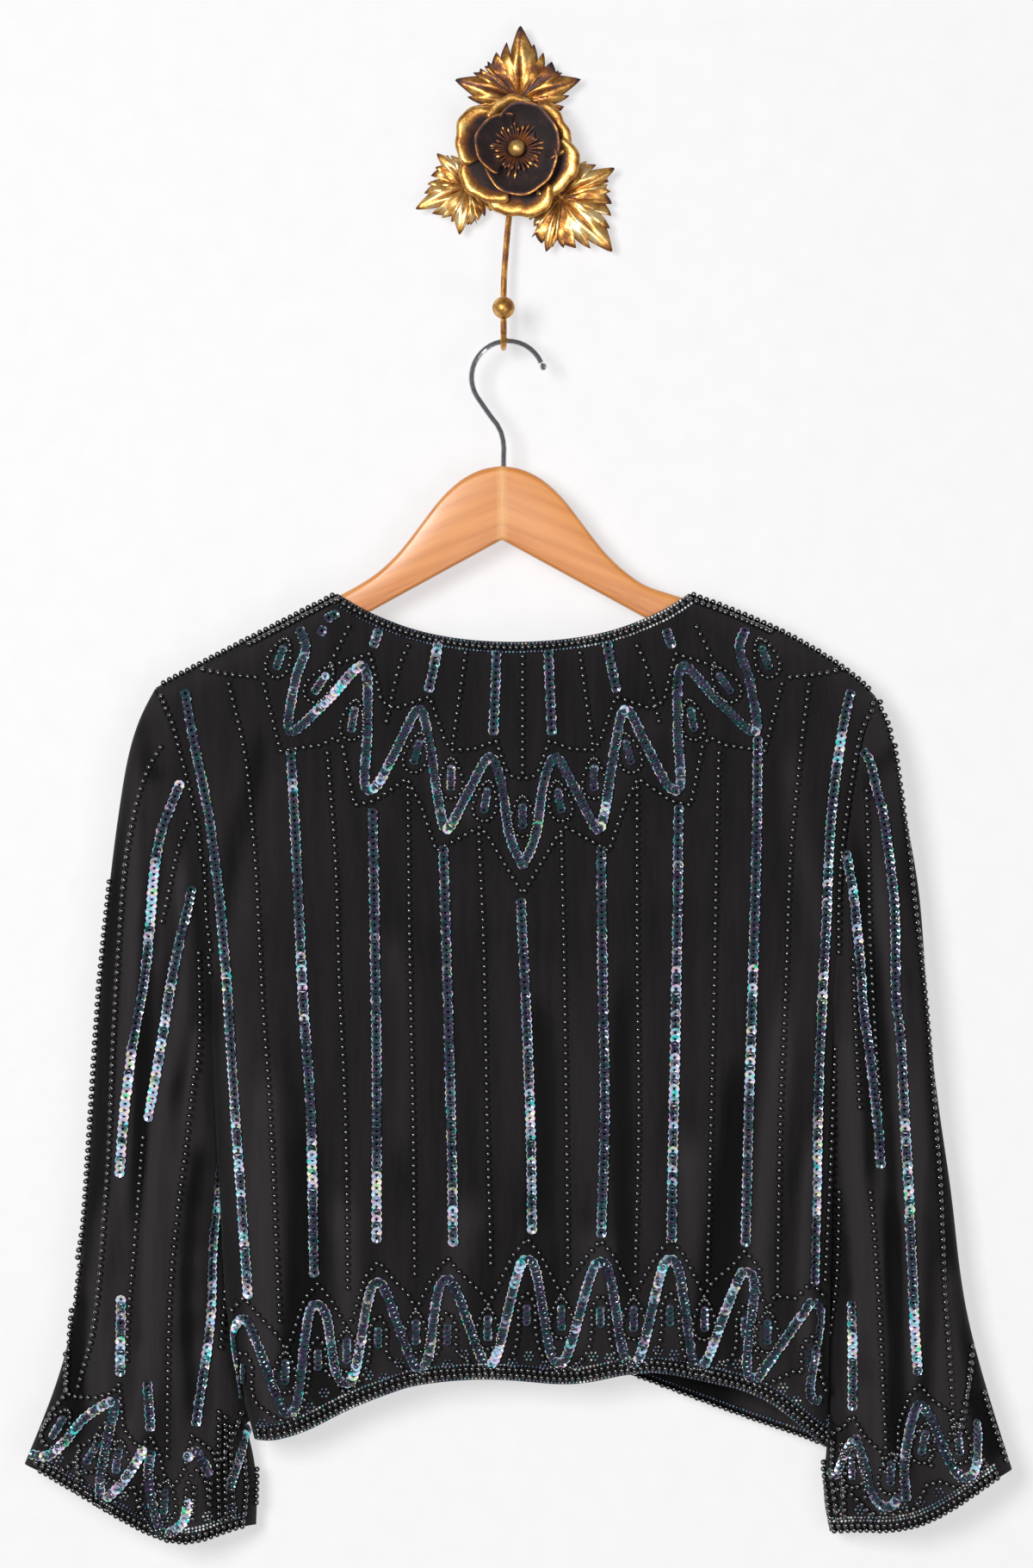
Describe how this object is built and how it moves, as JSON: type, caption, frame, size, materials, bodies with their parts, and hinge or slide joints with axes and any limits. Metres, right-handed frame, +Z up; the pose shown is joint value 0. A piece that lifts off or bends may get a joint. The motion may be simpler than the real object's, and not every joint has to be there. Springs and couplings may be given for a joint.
{
  "type": "beaded jacket on a wooden hanger and a flower wall hook",
  "caption": "Cropped black jacket with long flared sleeves, beaded and sequined all over, on a wooden hanger that hangs from a gilt flower wall hook",
  "frame": {"origin": "centre of the wall plate's flat back, on the wall", "axes": "+Z up, +Y into the wall, -Y into the room, +X to the right for someone who faces the wall"},
  "size_m": [0.5755, 0.0462, 0.8849],
  "materials": {
    "beaded_cloth": "matt crinkled cloth under glass beads and sequins",
    "hanger_wood": "satin varnish",
    "chrome_wire": "polished",
    "gilt_metal": "antique gilt",
    "dark_gilt": "dark brown patina"
  },
  "bodies": {
    "root": {"back": "beaded_cloth", "front_left": "beaded_cloth", "front_right": "beaded_cloth", "sleeve_left": "beaded_cloth", "sleeve_right": "beaded_cloth", "hanger": "hanger_wood", "hanger_hook": "chrome_wire", "hook_tip": "chrome_wire", "wall_plate": "gilt_metal", "hook_rod": "gilt_metal", "hook_ball": "gilt_metal", "leaf_top": "gilt_metal", "leaf_lower_left": "gilt_metal", "leaf_lower_right": "gilt_metal", "petals_outer": "gilt_metal", "petals_inner": "dark_gilt", "stamens": "dark_gilt", "flower_centre": "gilt_metal"}
  },
  "joints": []
}
